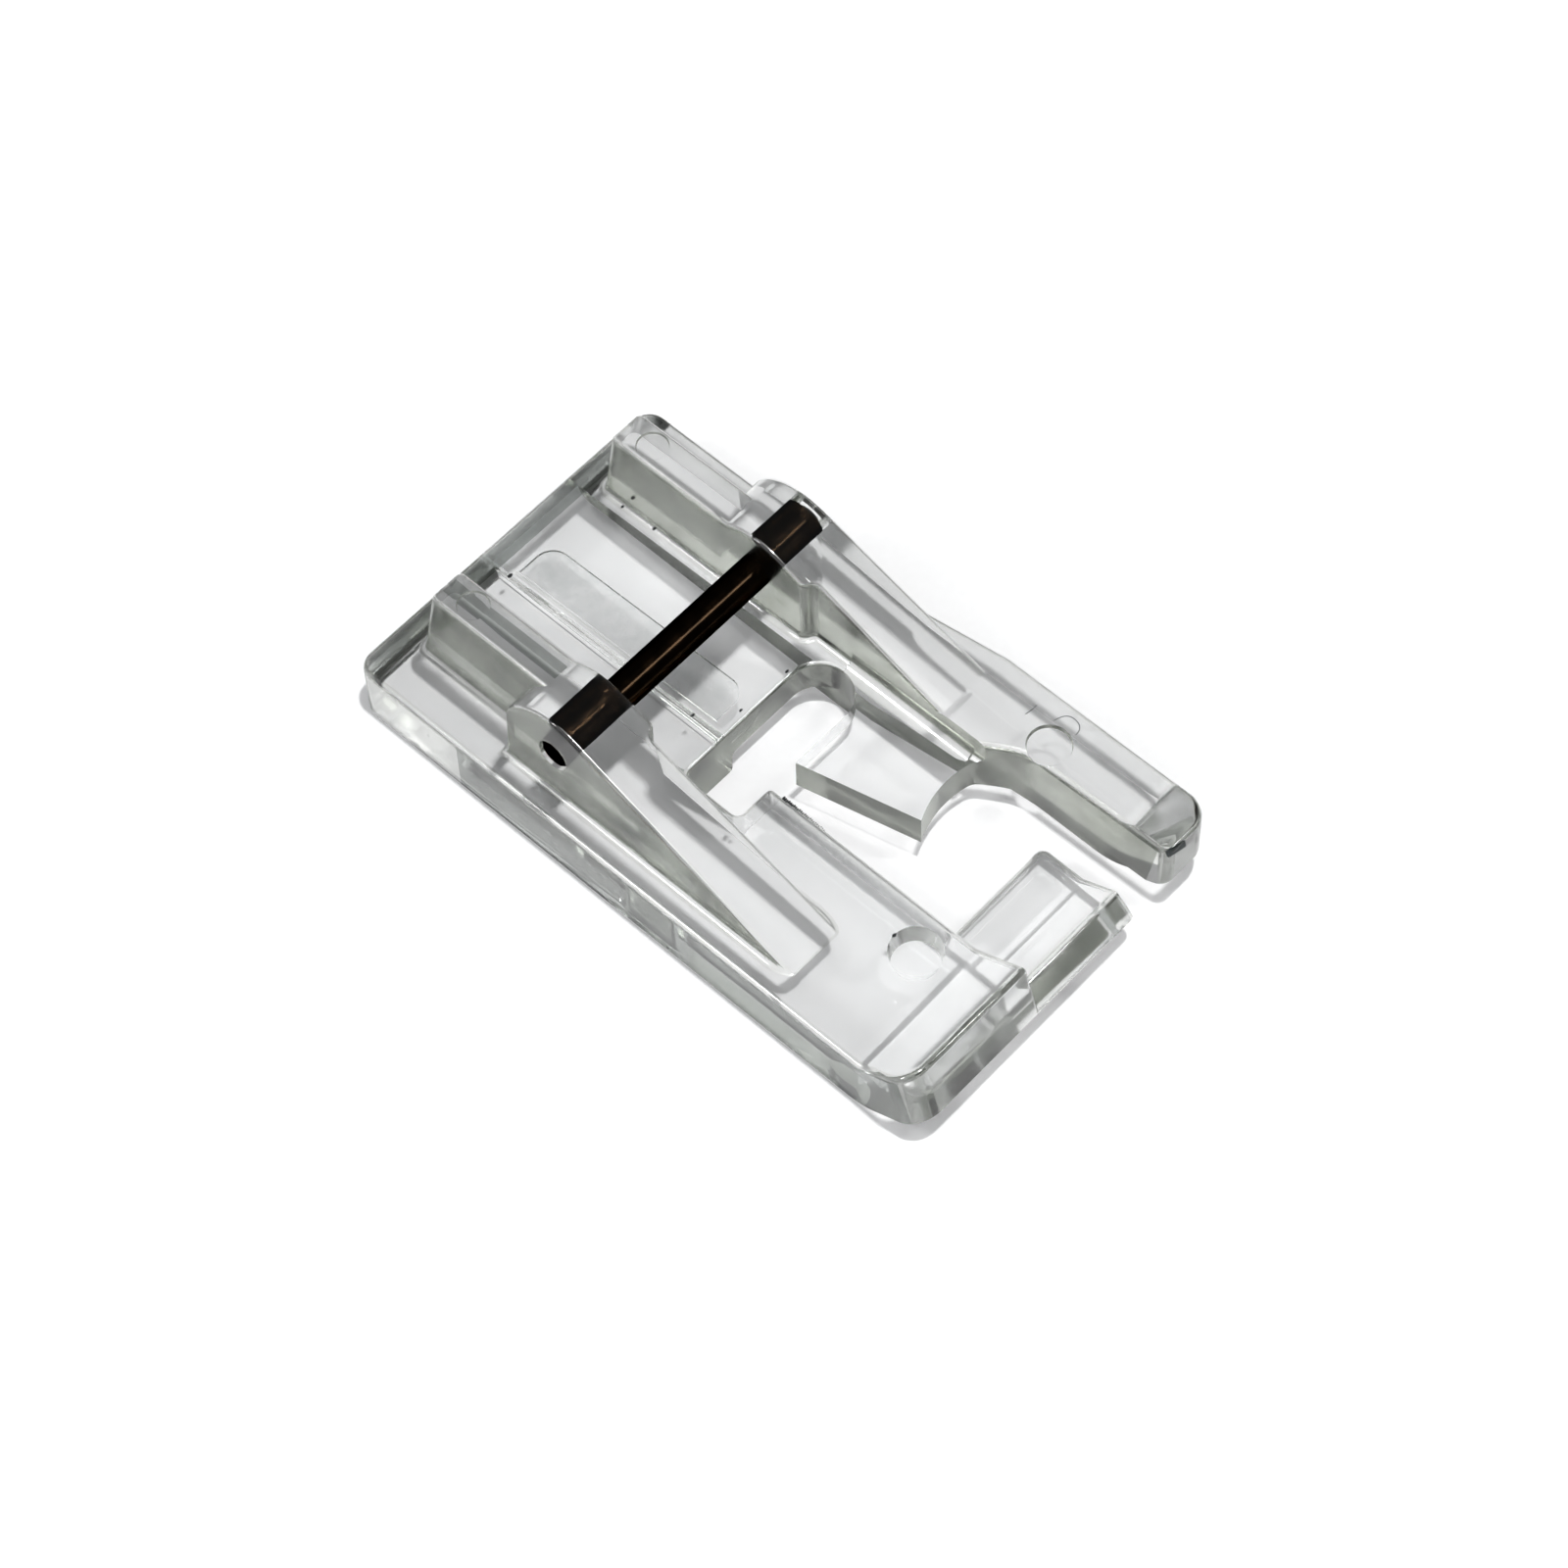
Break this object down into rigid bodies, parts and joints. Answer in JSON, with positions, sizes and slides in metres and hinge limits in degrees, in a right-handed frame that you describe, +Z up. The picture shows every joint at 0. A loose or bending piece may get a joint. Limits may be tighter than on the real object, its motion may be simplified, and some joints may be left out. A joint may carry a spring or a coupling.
{
  "type": "sewing machine presser foot",
  "caption": "Clear clip-on sewing machine presser foot: flat sole with turned-up split toes, needle slot and thread opening, and cheeks holding a dark steel cross pin.",
  "frame": {"origin": "middle of the foot's outline, on the plane the sole lies on", "axes": "+Z up; -Y to the toes, +Y to the back edge; +X to the sewer's right"},
  "size_m": [0.02, 0.0354, 0.0086],
  "materials": {
    "clear_plastic": "clear moulded plastic, polished",
    "pin_steel": "dark polished steel"
  },
  "bodies": {
    "root": {"foot_body": "clear_plastic", "cross_pin": "pin_steel"}
  },
  "joints": []
}
